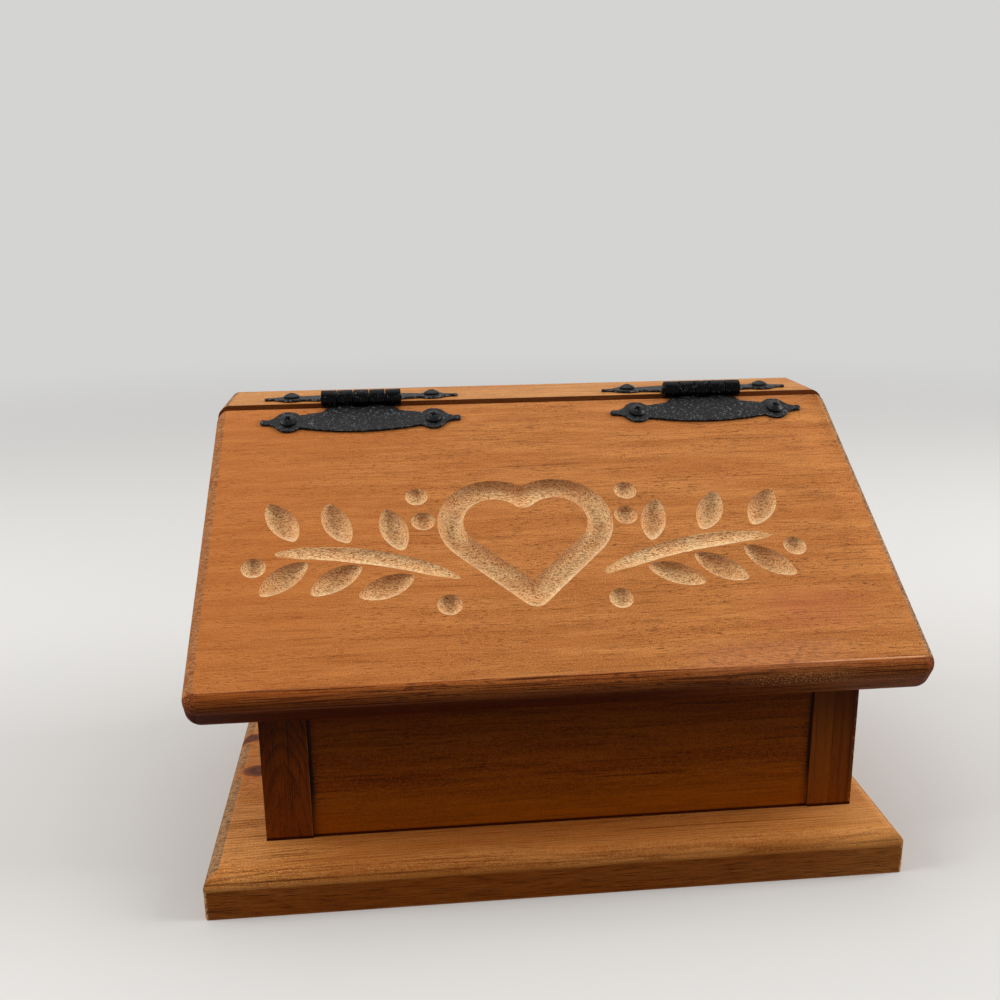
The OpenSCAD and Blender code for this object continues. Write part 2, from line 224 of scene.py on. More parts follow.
def pine(name, stain, pith, ring_w, order="xyz", slope=0.0, centre=(0, 0, 0), lean=(0, 0), seed=0.0,
        rings=0.6, lines=0.5, dashes=0.5, reds=0.35, ends=(0.12, 0.12), knots=(), marks=None):
    """Solid pine, as if cut from a log: growth rings round the pith, fibres along it and end grain across it.

    order names the axes that run along the board, across it and through it, once the board is laid level.
    pith is where the middle of the log passes, in millimetres across and through the board, and lean is how
    far it wanders with each millimetre along it. rings, lines, dashes and reds say how strongly each of these
    shows, and ends how far the surface has to turn towards each end of the board before its end grain shows.
    """
    sheet = Finish(name)
    spot = dict(zip("xyz", sheet.parts(sheet.own_place(centre, slope))))
    along, across, through = [spot[axis] for axis in order]
    normal = dict(zip("xyz", sheet.parts(sheet.levelled(sheet.facing(), slope))))
    turned_away = normal[order[0]]
    end = sheet.over(-turned_away, ends[0], ends[0] + 0.1) + sheet.over(turned_away, ends[1], ends[1] + 0.1)
    moved = along + seed

    # Growth rings: a slow sway moves the pith, and a knot pushes the rings aside. Each year's wood darkens
    # slowly and ends at a sharp edge, and some years show more than others
    sway = sheet.specks((moved, across, through), (140, 220, 90), detail=1.0) - 0.5
    wobble = sheet.specks((moved, across, through), (55, 16, 16)) - 0.5
    off_across = across - pith[0] - lean[0] * along - pith_sway[0] * sway
    off_through = through - pith[1] - lean[1] * along - pith_sway[1] * sway
    radius = (off_across * off_across + off_through * off_through).maths("SQRT") + ring_wobble * wobble
    for x, y, size in knots:
        from_x = (along - x) / (size * 1.9)
        from_y = (across - y) / (size * 1.3)
        near = (-(from_x * from_x + from_y * from_y)).maths("EXPONENT")
        radius = radius + near * (size * 1.6)
    spread = sheet.noise(sheet.point(radius / 11, 3.7, seed), detail=1.0)
    age = radius / ring_w + 1.6 * spread
    year = age.maths("FLOOR")
    season = age - year
    late = sheet.over(season, 0.42, 0.93) * sheet.under(season, 0.95, 1.0)
    vigour = sheet.node("ShaderNodeTexWhiteNoise", {"W": year + seed}, noise_dimensions="1D")
    broken = sheet.over(sheet.specks((moved, across, through), (30, 3, 3)), 0.3, 0.62)
    ring = late * (0.35 + 0.65 * vigour) * (0.45 + 0.55 * broken)

    # Long thin dark lines that drift with the grain, short dashes in loose crowds, and a fine fibre
    drift = 6 * sheet.specks((moved, across, through), (130, 34, 34), detail=1.0)
    drifted = across + drift
    sunk = through + drift
    thin = sheet.specks((moved, drifted, sunk), (95, 0.55, 0.55), roughness=0.65)
    line = sheet.over(thin, 0.56, 0.64) * (0.2 + 0.8 * broken)
    crowd = sheet.over(sheet.noise(sheet.point(moved / 34 + 9, across / 12, through / 12)), 0.36, 0.6)
    strokes = sheet.noise(sheet.point(moved / 3 + 31, drifted / 0.42, sunk / 0.42), detail=1.0)
    dash = sheet.over(strokes, 0.6, 0.68) * (0.2 + 0.8 * crowd)
    fibre = sheet.specks((moved, drifted, sunk), (9, 0.4, 0.4), detail=3.0, roughness=0.75)
    tone = sheet.specks((moved, drifted, sunk), (75, 6, 6), detail=3.0, roughness=0.55)
    patch = sheet.specks((moved, across, through), (52, 22, 22))
    grit = sheet.specks((moved, across, through), (0.55, 0.5, 0.5), detail=1.0)

    colour = sheet.mixed(sheet.over(tone, 0.36, 0.64), stain.pale, stain.mid)
    colour = sheet.mixed(reds * sheet.over(patch, 0.46, 0.72), colour, stain.red)
    colour = sheet.mixed(rings * ring, colour, stain.ring)
    colour = sheet.mixed(0.5 * sheet.over(fibre, 0.46, 0.7), colour, stain.ring)
    colour = sheet.mixed(lines * line, colour, stain.ring)
    colour = sheet.mixed(dashes * dash, colour, stain.fleck)
    colour = sheet.mixed(0.28 * sheet.over(grit, 0.52, 0.66), colour, stain.ring)
    # Painted glints: the palest specks of grit take the glint colour
    colour = sheet.mixed(0.4 * sheet.under(grit, 0.32, 0.46), colour, stain.glint)

    # End grain drinks the stain unevenly: grey-brown, with dark pores and the crossed hatching of the saw
    pores = sheet.specks((moved, across, through), (1.4, 0.42, 0.42), roughness=0.7)
    rising = sheet.specks((moved, across + through, through - across), (4, 0.5, 4))
    falling = sheet.noise(sheet.point(moved / 4, (across - through) / 0.5 + 7, (through + across) / 4))
    hatch = sheet.over(rising.maths("MAXIMUM", 0.9 * falling), 0.5, 0.57)
    end_dark = sheet.over(pores, 0.46, 0.58) * 0.35 + hatch * 0.6 + ring * 0.3
    end_colour = sheet.mixed(end_dark.maths("MINIMUM", 1.0), stain.end_pale, stain.end_dark)
    colour = sheet.mixed(end * 0.92, colour, end_colour)

    # Knots: a dark red-brown heart with rings of its own and a darker rim
    for x, y, size in knots:
        stray = sheet.noise(sheet.point(along / 4, across / 4, through / 9 + x)) * 0.3
        from_x = (along - x) / size
        from_y = (across - y) / (size * 0.72)
        out = (from_x * from_x + from_y * from_y).maths("SQRT") + stray
        circles = sheet.over((out * 9.0).maths("SINE"), -0.6, 1.0)
        heart = sheet.mixed(circles, tint(82, 46, 38), tint(112, 64, 50))
        colour = sheet.mixed(0.5 * sheet.under(out, 0.9, 2.1), colour, stain.red)
        colour = sheet.mixed(0.92 * sheet.under(out, 0.85, 1.1), colour, heart)
        colour = sheet.mixed(0.5 * sheet.band(out, 1.02, 0.03, 0.1), colour, tint(74, 40, 26))
    if marks:
        colour = marks(sheet, colour, along, across, through)

    relief = fibre * 0.35 - ring * 0.3 - line * 0.3 - dash * 0.5 - end * end_dark * 1.2
    sheet.bump(relief, grain_depth)
    sheet.paint(colour, roughness=0.38 + 0.16 * fibre + 0.24 * end + 0.1 * dash, specular=0.07)
    return sheet.material


def corners_of(node):
    """The lowest and the highest corner of a piece's box, in millimetres."""
    return [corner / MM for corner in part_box(node)]


def finish_with(node, material):
    """Gives a piece of the frame its finish."""
    piece = frame["nodes"][node]
    piece.data.materials.clear()
    piece.data.materials.append(material)
    return piece


base_low, base_high = corners_of("base_board")
lip_drop = 5.3


def base_wear_light_and_shade(sheet, colour, along, across, through):
    """Painted shade under the lid and on the front edge, painted light to the right, and pale chipped front
    corners.
    """
    # Painted shadow: the board is darker and redder along the middle, where the lid's shadow falls
    lid_shadow_mask = sheet.band(along, 0, 84, 44)
    colour = sheet.mixed(lid_shadow_mask * 0.48, colour, tint(148, 74, 12))
    # Painted light: the board is paler towards its right end
    colour = sheet.mixed(sheet.over(along, 70, 125) * 0.35, colour, tint(236, 164, 92))
    near_front = sheet.under(across, base_low.y + 1.2, base_low.y + 3.0)
    lip = base_high.z - lip_drop
    front = near_front * sheet.under(through, lip - 1.1, lip - 0.5)
    # Painted shade: the front face below the lip is darker and redder, less so to the right
    colour = sheet.mixed(front * (0.7 - 0.2 * sheet.over(along, -60, 120)), colour, tint(156, 72, 0))
    fine = sheet.specks((along, across, through), (14, 0.3, 0.3), detail=3.0, roughness=0.75)
    colour = sheet.mixed(front * 0.75 * sheet.over(fine, 0.5, 0.6), colour, tint(66, 26, 0))
    broken = sheet.over(sheet.noise(sheet.point(along / 36, 3.0, 8.0)), 0.34, 0.6)
    crease = near_front * sheet.band(through, lip + 1.8, 0.15, 0.35)
    fading = 1.0 - 0.75 * sheet.over(along, -110, 0)
    colour = sheet.mixed(crease * fading * (0.3 + 0.55 * broken), colour, tint(70, 26, 4))
    # A pale line along the lip's arris: rubbed wood, with a painted highlight that the arris would catch
    colour = sheet.mixed(near_front * 0.32 * sheet.band(through, lip, 0.4, 0.3), colour, tint(206, 128, 56))
    rubbed = sheet.under(through, 0.3, 0.9)
    colour = sheet.mixed(front * rubbed * (0.1 + 0.4 * broken), colour, tint(206, 134, 80))
    for corner_x in (base_low.x, base_high.x):
        away = (along - corner_x).maths("ABSOLUTE")
        chipped = sheet.specks((along, across, through), (2, 2, 3.5), detail=3.0, roughness=0.7)
        chip = sheet.under(away, 0.6, 1.8) * sheet.over(chipped, 0.46, 0.56)
        wear_and_glints = sheet.under(away, 0.2, 0.6) * sheet.over(chipped, 0.3, 0.44)
        streak = sheet.under(away + 3 * chipped, 2.5, 4.5) * sheet.band(through, lip - 0.6, 0.2, 0.25)
        bare = chip.maths("MAXIMUM", wear_and_glints).maths("MAXIMUM", streak) * front
        colour = sheet.mixed(bare * 0.9, colour, tint(228, 190, 140))
    return colour


base_pine = pine("golden_pine", golden_stain, pith=(150, -70), ring_w=1.7, seed=40, rings=0.7, lines=0.9,
    dashes=0.6, ends=(0.12, 0.45), knots=[(-127, -20, 7.5), (-134.6, 10.6, 6.0)], marks=base_wear_light_and_shade)
finish_with("base_board", base_pine)

# Sides
# Two upright boards with their grain standing up, whose front edges frame the panel as stiles would.
# They are screwed from below through the base, and glued to the ends of both panels.

# Darker, redder copies of the stain: partly the body's own stain, partly painted shade under the lid
shaded_ends = {"end_pale": (166, 124, 84), "end_dark": (66, 44, 28)}
shaded_stain = Stain(glint=(190, 106, 24), pale=(170, 86, 10), mid=(148, 68, 4), ring=(62, 20, 1),
    red=(138, 52, 6), fleck=(38, 11, 1), **shaded_ends)
# deep_stain, for the left side, is darker still, with more of that painted shade
deep_stain = Stain(glint=(160, 80, 14), pale=(138, 62, 6), mid=(116, 46, 2), ring=(38, 10, 1),
    red=(104, 36, 4), fleck=(24, 6, 1), **shaded_ends)
left_low, left_high = corners_of("left_side")
right_low, right_high = corners_of("right_side")
body_front = left_low.y


def foot_shade_line(sheet, colour, height):
    """A thin red-brown line of painted shade along the foot, where the board meets the base."""
    foot = sheet.under(height, base_high.z + 0.9, base_high.z + 1.6)
    return sheet.mixed(foot * 0.9, colour, tint(44, 4, 2))


def painted_lid_shade_and_foot_light(sheet, colour, along, front):
    """Painted shade darkens a stile under the lid, and painted light makes it more golden towards the foot.
    """
    under_lid = sheet.over(along, base_high.z + 26, base_high.z + 52)
    colour = sheet.mixed(front * under_lid * 0.45, colour, tint(40, 12, 2))
    foot = sheet.under(along, base_high.z + 4, base_high.z + 26)
    return sheet.mixed(front * foot * 0.3, colour, tint(150, 78, 24))


def right_edge(sheet, colour, along, across, through):
    """The front edge is paler towards the panel, and a dark line runs up beside its chipped outer arris."""
    front = sheet.under(across, body_front + 0.2, body_front + 1.5)
    stray = 1.4 * sheet.noise(sheet.point(along / 26, 2.0, 5.0))
    inner = sheet.under(through + stray, right_low.x + 8.6, right_low.x + 9.6)
    colour = sheet.mixed(front * inner * 0.55, colour, tint(142, 76, 18))
    colour = sheet.mixed(front * (0.55 - 0.55 * inner), colour, tint(96, 40, 4))
    outer = sheet.band(through + stray, right_high.x - 1.0, 0.2, 0.5)
    colour = sheet.mixed(front * outer * 0.7, colour, tint(46, 18, 4))
    chipped = sheet.specks((along, across, through), (2.2, 2.0, 2.0), detail=3.0, roughness=0.7)
    chip = sheet.over(through, right_high.x - 0.9, right_high.x - 0.4) * sheet.over(chipped, 0.54, 0.6)
    colour = sheet.mixed(front * chip * 0.7, colour, tint(206, 146, 84))
    return foot_shade_line(sheet, painted_lid_shade_and_foot_light(sheet, colour, along, front), along)


def left_edge(sheet, colour, along, across, through):
    """The arris beside the panel is paler: rubbed wood, with a painted highlight along it."""
    front = sheet.under(across, body_front + 0.1, body_front + 0.5)
    rub_and_highlight = sheet.over(through, left_high.x - 0.55, left_high.x - 0.2)
    wear_and_glints = sheet.over(sheet.noise(sheet.point(along / 9, 1.0, 3.0)), 0.35, 0.6)
    # Painted highlight along the rubbed arris
    colour = sheet.mixed(front * rub_and_highlight * wear_and_glints * 0.5, colour, tint(170, 110, 66))
    return foot_shade_line(sheet, painted_lid_shade_and_foot_light(sheet, colour, along, front), along)


left_middle = (left_low.x + left_high.x) / 2
left_pine = pine("left_side_pine", deep_stain, pith=(body_front + 14, left_middle), ring_w=1.5, order="zyx",
    lean=(0.1, 0.02), seed=11, rings=1.0, lines=0.9, dashes=1.0, reds=0.2, marks=left_edge)
finish_with("left_side", left_pine)
right_pine = pine("right_side_pine", shaded_stain, pith=(body_front + 10, 40), ring_w=3.4, order="zyx",
    lean=(0.01, 0.02), seed=71, rings=0.8, lines=0.8, dashes=0.8, reds=0.2, marks=right_edge)
finish_with("right_side", right_pine)

# Front and back panels
# Two boards between the sides, with their grain across the box, glued at their ends and along their feet.
# The front one is low and has dark joints, and the tall back one closes the box under the top board.

panel_low, panel_high = corners_of("front_panel")


def glue_stains_and_painted_shade(sheet, colour, along, across, through):
    """Stain has crept in from the glued ends in ragged strokes. Painted shade darkens the panel under the
    lid.
    """
    stroke = sheet.specks((along, across, through), (14, 3, 0.8), roughness=0.6)
    away = panel_high.x - along.maths("ABSOLUTE")
    crept = sheet.under(away + 10 * stroke, 4.6, 8.4)
    colour = sheet.mixed(crept * 0.7, colour, tint(44, 14, 2))
    # A near-black line at each end: stain in the joint, with painted shade of the step beside the stile
    colour = sheet.mixed(0.95 * sheet.under(away, 0.7, 1.5), colour, tint(16, 4, 1))
    # Painted shade: darker towards the top, under the lid
    upper = sheet.over(through, panel_low.z + 12, panel_high.z)
    colour = sheet.mixed(upper * 0.62, colour, tint(62, 18, 1))
    # Painted light: paler and more golden towards the foot
    lower = sheet.under(through, panel_low.z + 5, panel_low.z + 22)
    colour = sheet.mixed(lower * 0.4, colour, tint(192, 104, 10))
    return foot_shade_line(sheet, colour, through)


front_pine = pine("front_panel_pine", shaded_stain, pith=(-40, 150), ring_w=4.5, seed=120, rings=0.3,
    lines=0.75, dashes=0.4, reds=0.2, marks=glue_stains_and_painted_shade)
finish_with("front_panel", front_pine)
back_pine = pine("back_panel_pine", shaded_stain, pith=(20, 60), ring_w=4.5, seed=210, rings=0.5)
finish_with("back_panel", back_pine)

# Top board
# A narrow board across the level ends of the sides, routed along its back and ends and square in front.
# It is glued down, and carries the hinges' upper leaves.

blond_stain = Stain(glint=(230, 172, 104), pale=(208, 144, 78), mid=(190, 122, 58), ring=(122, 68, 26),
    red=(178, 104, 50), fleck=(96, 48, 14), **open_ends)
top_low, _ = corners_of("top_board")


def painted_groove_shadow(sheet, colour, along, across, through):
    """Painted shadow in the groove between this board and the lid."""
    groove = sheet.under(across, top_low.y + 0.1, top_low.y + 0.5)
    return sheet.mixed(groove * 0.8, colour, tint(104, 42, 12))


top_pine = pine("top_board_pine", blond_stain, pith=(-30, 60), ring_w=4.2, seed=300, rings=0.4, lines=0.4,
    marks=painted_groove_shadow)
finish_with("top_board", top_pine)

# Lid
# A wide pine board, stained like the rest, that slopes down to the front and swings up on the hinges.
# A round-nosed router bit, guided by hand, has carved a heart between two sprigs through the finish.

# Places on the lid are measured from the hinge's line, as if the lid lay level.
hinge_point = Vector(frame["joints"][0]["pos_m"])
lid_slope = math.radians(32.0054)
lid_turn = Matrix.Translation(hinge_point) @ Matrix.Rotation(lid_slope, 4, "X")
lid_levelled = lid_turn.inverted()
lid_face = -2.5
lid_front = -158.32
bit_r = 5.6
carving_middle = Vector((-9, -86))
carved_half_w = 130
carved_front = -130
carved_back = -42
honey_stain = Stain(glint=(230, 164, 100), pale=(202, 130, 67), mid=(184, 112, 53), ring=(120, 60, 22),
    red=(182, 98, 52), fleck=(90, 42, 14), **open_ends)
arris_in = 4.98
_, lid_high = corners_of("lid_board")
lid_half_w = lid_high.x


def lid_wear_light_and_shade(sheet, colour, along, across, through):
    """The lid's front edge, with painted shade below and painted highlights, and the marks of use on its
    face.
    """
    warm = sheet.under(along, -140, 10)
    colour = sheet.mixed(warm * 0.42, colour, tint(186, 102, 40))
    edge = sheet.under(across, lid_front + arris_in - 0.15, lid_front + arris_in + 0.1)
    right = sheet.over(along, 10, 120)

    # The rounded edge is darkened downwards by painted shade, less so to the right, and the rings show on it
    # as fine level lines. Its right corner is paler, with dark arcs
    low = sheet.under(through, lid_face - 9, lid_face - 1.5)
    corner = sheet.over(along, lid_half_w - 7.5, lid_half_w - 5.5) * edge
    colour = sheet.mixed(corner * 0.75, colour, tint(168, 92, 44))
    arc = sheet.specks((along, across, through), (26, 3, 0.34), roughness=0.6)
    colour = sheet.mixed(corner * 0.8 * sheet.over(arc, 0.5, 0.6), colour, tint(62, 22, 5))
    colour = sheet.mixed(edge * (0.36 - 0.06 * right), colour, tint(158, 58, 0))
    # Painted shade on the lower, down-facing part of the rounded edge
    colour = sheet.mixed(edge * low * (0.9 - 0.74 * right), colour, tint(70, 8, 0))
    fine = sheet.specks((along, across, through), (42, 0.4, 0.32), roughness=0.65)
    colour = sheet.mixed(edge * 0.85 * sheet.over(fine, 0.48, 0.6), colour, tint(56, 16, 1))
    smudge = sheet.specks((along, across, through), (7, 1.6, 0.9))
    smudge = sheet.over(smudge, 0.6, 0.68) * sheet.band(along, 10, 60, 50)
    colour = sheet.mixed(edge * 0.6 * smudge, colour, tint(40, 14, 4))
    # Painted highlight: a pale line, on the left, where the upper rounding meets the flat of the edge
    crease_highlight = sheet.band(through, lid_face - 6.2, 0.12, 0.3) * sheet.under(along, -110, -20)
    colour = sheet.mixed(edge * 0.4 * crease_highlight, colour, tint(190, 116, 84))

    # Gold grit in the right part of the edge, and a painted highlight along the sharp arris at the right
    # corner
    gold = sheet.specks((along, across, through), (0.55, 0.5, 0.5), detail=1.0)
    place = sheet.band(along, 88, 8, 22) * sheet.band(through, lid_face - 4.6, 1.4, 1.8)
    colour = sheet.mixed(place * edge * 0.25, colour, tint(84, 34, 8))
    spot = place * edge * sheet.over(gold, 0.57, 0.62)
    colour = sheet.mixed(spot * 0.75, colour, tint(236, 172, 120))
    arris_end = lid_half_w - arris_in
    short = sheet.under(along.maths("ABSOLUTE"), arris_end - 0.8, arris_end - 0.2)
    rub_and_highlight = short * sheet.band(across, lid_front + arris_in, 0.12, 0.3)
    # Painted highlight on the arris: bright at the right corner, fainter along the rest
    colour = sheet.mixed(rub_and_highlight * sheet.over(along, 84, 100) * 0.7, colour, tint(238, 176, 130))
    colour = sheet.mixed(rub_and_highlight * sheet.under(along, 84, 100) * 0.25, colour, tint(214, 140, 84))

    # A smear of worn stain behind the arris, a reddened area above it, and one short scratch
    wiped = sheet.point(along / 3.6, (across + 0.1 * along) / 0.7, 4.0)
    grime = sheet.noise(wiped, detail=3.0, roughness=0.65)
    patch = sheet.band(along, 78, 16, 26) * sheet.band(across, lid_front + 9.5, 3.5, 5)
    colour = sheet.mixed(patch * 0.3, colour, tint(196, 124, 84))
    colour = sheet.mixed(patch * 0.55 * sheet.over(grime, 0.5, 0.62), colour, tint(112, 68, 48))
    flush = sheet.band(along, 100, 8, 26) * sheet.band(across, lid_front + 30, 4, 12)
    colour = sheet.mixed(flush * 0.3, colour, tint(188, 98, 66))
    slant = (along - 97) * 0.55 + (across + 107)
    scratch = sheet.band(slant, 0.0, 0.12, 0.3) * sheet.band(along, 97, 3, 1)
    return sheet.mixed(scratch * 0.85, colour, tint(74, 34, 12))


# The carving is given from its middle, and its right half is mirrored to the left. Its heart is a square on
# its corner with two half circles, and its leaves grow from a bowed stem.
carve_depth = 4.3
heart_tip = -30
heart_side = 37
leaf_l = 27
leaf_half_w = 5.6
leaf_depth = 4.1
leaf_point = 0.3
leaf_gap = 6
leaf_turn = {"upper": 56, "lower": -48}
leaf_shares = {"upper": (0.31, 0.56, 0.81), "lower": (0.2, 0.46, 0.72)}
berries = [(43, 11), (45, 25), (34, -33), (111, -10)]
berry_depth = 2.8
stem_start = Vector((25, -22))
stem_end = Vector((108, -4))
stem_rise = 6.3
stem_depth = 1.5
stem_tilt = math.radians(18)
stem_margin = 0.04
stem_chord = stem_end - stem_start
stem_r = ((stem_chord.length / 2) ** 2 + stem_rise ** 2) / (2 * stem_rise)
stem_half = math.asin(stem_chord.length / 2 / stem_r)
stem_lean = math.atan2(stem_chord.y, stem_chord.x)


def polar(angle, length=1.0):
    """The flat vector with that angle and length."""
    return Vector((math.cos(angle), math.sin(angle))) * length


def on_stem(share):
    """A point on the stem, and the way that the stem runs there."""
    heading = stem_lean + (1 - 2 * share) * stem_half
    top = (stem_start + stem_end) / 2 + polar(stem_lean + math.pi / 2, stem_rise - stem_r)
    return top + polar(heading + math.pi / 2, stem_r), heading


def heart_stroke():
    """Half of the heart: up a straight side from the tip, and round a half circle back to the notch."""
    tip = Vector((0, heart_tip))
    steps = 8
    side = [tip + polar(math.pi / 4, heart_side * i / steps) for i in range(steps)]
    lobe_r = heart_side / 2
    lobe = tip + polar(math.pi / 4, heart_side) + polar(math.pi * 3 / 4, lobe_r)
    turns = 26
    return side + [lobe + polar(math.pi * (-0.25 + i / turns), lobe_r) for i in range(turns + 1)]


def stem_stroke(hand):
    """A stem, whose bit rises out of the wood at both ends, as points with a depth."""
    points = []
    steps = 24
    for i in range(steps + 1):
        share = stem_margin + (1 - 2 * stem_margin) * i / steps
        spot, _ = on_stem(share)
        sag = stem_r * (1 - math.cos((1 - 2 * share) * stem_half))
        points.append((spot, stem_depth - sag * math.tan(stem_tilt) + hand.uniform(0, 0.25)))
    return points


def swept(name, rows, round_ends=True):
    """The closed form that the bit leaves along rows of (middle, radius), with round or pointed ends."""
    around = 32
    cap = 8
    form = bmesh.new()
    middles = [middle for middle, _ in rows]
    last = len(rows) - 1
    heads = [(middles[min(i + 1, last)] - middles[max(i - 1, 0)]).normalized() for i in range(last + 1)]
    rings = [(middle, radius, head) for (middle, radius), head in zip(rows, heads)]
    if round_ends:
        turns = [math.pi / 2 * k / cap for k in range(1, cap)]
        back = heads[0] * bit_r
        ahead = heads[-1] * bit_r
        first = [(middles[0] - back * math.cos(t), bit_r * math.sin(t), heads[0]) for t in turns]
        final = [(middles[-1] + ahead * math.sin(t), bit_r * math.cos(t), heads[-1]) for t in turns]
        rings = first + rings + final
    angles = [2 * math.pi * k / around for k in range(around)]
    loops = []
    for middle, radius, head in rings:
        side = head.cross(Vector((0, 0, 1))).normalized()
        up = side.cross(head)
        spots = [middle + (side * math.cos(a) + up * math.sin(a)) * radius for a in angles]
        loops.append([form.verts.new(spot) for spot in spots])
    tip_out = bit_r if round_ends else leaf_point
    first_tip = form.verts.new(middles[0] - heads[0] * tip_out)
    final_tip = form.verts.new(middles[-1] + heads[-1] * tip_out)
    for k in range(around):
        n = (k + 1) % around
        for below, above in zip(loops, loops[1:]):
            form.faces.new((below[k], below[n], above[n], above[k]))
        form.faces.new((first_tip, loops[0][n], loops[0][k]))
        form.faces.new((final_tip, loops[-1][k], loops[-1][n]))
    bmesh.ops.recalc_face_normals(form, faces=form.faces)
    return laid_on_lid(name, form)


def plunge(name, spot, depth):
    """The round hollow that the bit leaves where it is let straight down."""
    form = bmesh.new()
    there = Matrix.Translation(Vector((spot.x, spot.y, lid_face + bit_r - depth)))
    bmesh.ops.create_uvsphere(form, u_segments=36, v_segments=18, radius=bit_r, matrix=there)
    return laid_on_lid(name, form)


def laid_on_lid(name, form):
    """Turns millimetres in the lid's own frame into metres in the whole box's."""
    bmesh.ops.scale(form, vec=(MM, MM, MM), verts=form.verts)
    bmesh.ops.transform(form, matrix=lid_turn, verts=form.verts)
    mesh = bpy.data.meshes.new(name)
    form.to_mesh(mesh)
    form.free()
    made = bpy.data.objects.new(name, mesh)
    bpy.context.scene.collection.objects.link(made)
    return made


def leaf_rows(base, heading, hand):
    """A leaf's hollow: circles that swell and shrink along it, with a slight bend as a hand would give."""
    arc_r = ((leaf_l / 2) ** 2 + leaf_half_w ** 2) / (2 * leaf_half_w)
    bend = hand.uniform(-0.9, 0.9)
    plump = hand.uniform(0.98, 1.08)
    rows = []
    steps = 24
    for i in range(1, steps):
        out = leaf_l * (i / steps - 0.5)
        radius = math.sqrt(arc_r ** 2 - out ** 2) - arc_r + leaf_half_w
        bow = bend * (1 - (2 * out / leaf_l) ** 2)
        flat = base + polar(heading, leaf_l / 2 + out) + polar(heading + math.pi / 2, bow)
        rows.append((Vector((flat.x, flat.y, lid_face + leaf_half_w - leaf_depth)), radius * plump))
    return rows


def carving_spot(spot, mirror, height=0.0):
    """Where a point of the carving's right half lies on the lid, or its image on the left if mirror is -1."""
    return Vector((carving_middle.x + mirror * spot.x, carving_middle.y + spot.y, height))


def stroke(name, points, mirror):
    """One pass of the bit along points that each have a depth."""
    rows = [(carving_spot(spot, mirror, lid_face + bit_r - depth), bit_r) for spot, depth in points]
    return swept(name, rows)


def carving_cutters(hand):
    """Everything that the bit takes out of the lid, stroke by stroke."""
    cutters = []
    for mirror in (1, -1):
        heart = [(spot, carve_depth + hand.uniform(-0.08, 0.12)) for spot in heart_stroke()]
        cutters.append(stroke("heart_stroke", heart, mirror))
        cutters.append(stroke("stem_stroke", stem_stroke(hand), mirror))
        for row, shares in leaf_shares.items():
            for share in shares:
                spot, heading = on_stem(share)
                way = heading + math.radians(leaf_turn[row] + hand.uniform(-3, 3))
                rows = leaf_rows(spot + polar(way, leaf_gap), way, hand)
                rows = [(carving_spot(middle, mirror, middle.z), radius) for middle, radius in rows]
                cutters.append(swept("leaf_stroke", rows, round_ends=False))
        for berry in berries:
            astray = Vector((hand.uniform(-0.4, 0.4), hand.uniform(-0.4, 0.4), 0))
            spot = carving_spot(Vector(berry), mirror) + astray
            cutters.append(plunge("berry_plunge", spot, berry_depth + hand.uniform(-0.2, 0.5)))
    return cutters


def closed_copy(node):
    """A mesh like the node's, with its facets joined into one closed skin."""
    mesh = frame["nodes"][node].data.copy()
    form = bmesh.new()
    form.from_mesh(mesh)
    bmesh.ops.remove_doubles(form, verts=form.verts, dist=1e-7)
    form.to_mesh(mesh)
    form.free()
    return mesh


def settled(piece):
    """The mesh that a piece has once its modifiers have run."""
    return bpy.data.meshes.new_from_object(piece.evaluated_get(bpy.context.evaluated_depsgraph_get()))


def within_carving(spot):
    return abs(spot.x) < carved_half_w and carved_front < spot.y < carved_back


def uncarved(mesh):
    """Gives the board a whole top face again, so that a finer carving than the solid's can be cut."""
    form = bmesh.new()
    form.from_mesh(mesh)
    spent = []
    for face in form.faces:
        corners = [lid_levelled @ corner.co / MM for corner in face.verts]
        lowest = min(corner.z for corner in corners)
        carved = lid_face - bit_r < lowest and all(within_carving(corner) for corner in corners)
        if carved or lowest > lid_face - 0.002:
            spent.append(face)
    bmesh.ops.delete(form, geom=spent, context="FACES")
    rims = [edge for edge in form.edges if edge.is_boundary]
    top = lid_turn.to_3x3() @ Vector((0, 0, 1))
    bmesh.ops.triangle_fill(form, edges=rims, use_beauty=True, use_dissolve=False, normal=top)
    bmesh.ops.recalc_face_normals(form, faces=form.faces)
    form.to_mesh(mesh)
    form.free()
    return mesh


hand = random.Random(8)
lid = bpy.data.objects.new("carved_lid", uncarved(closed_copy("lid_board")))
bpy.context.scene.collection.objects.link(lid)
cutters = carving_cutters(hand)
for cutter in cutters:
    cut = lid.modifiers.new("cut", "BOOLEAN")
    cut.object = cutter
    cut.solver = "MANIFOLD"
lid.data = settled(lid)
lid.modifiers.clear()
for cutter in cutters:
    bpy.data.objects.remove(cutter)

lid_pine = pine("honey_pine", honey_stain, pith=(-95, -95), ring_w=5.5, slope=lid_slope,
    centre=hinge_point / MM, lean=(0.03, 0.02), seed=500, rings=0.2, lines=0.6, dashes=0.75, reds=0.14,
    ends=(0.12, 0.34), marks=lid_wear_light_and_shade)
fur_depth = 0.0006


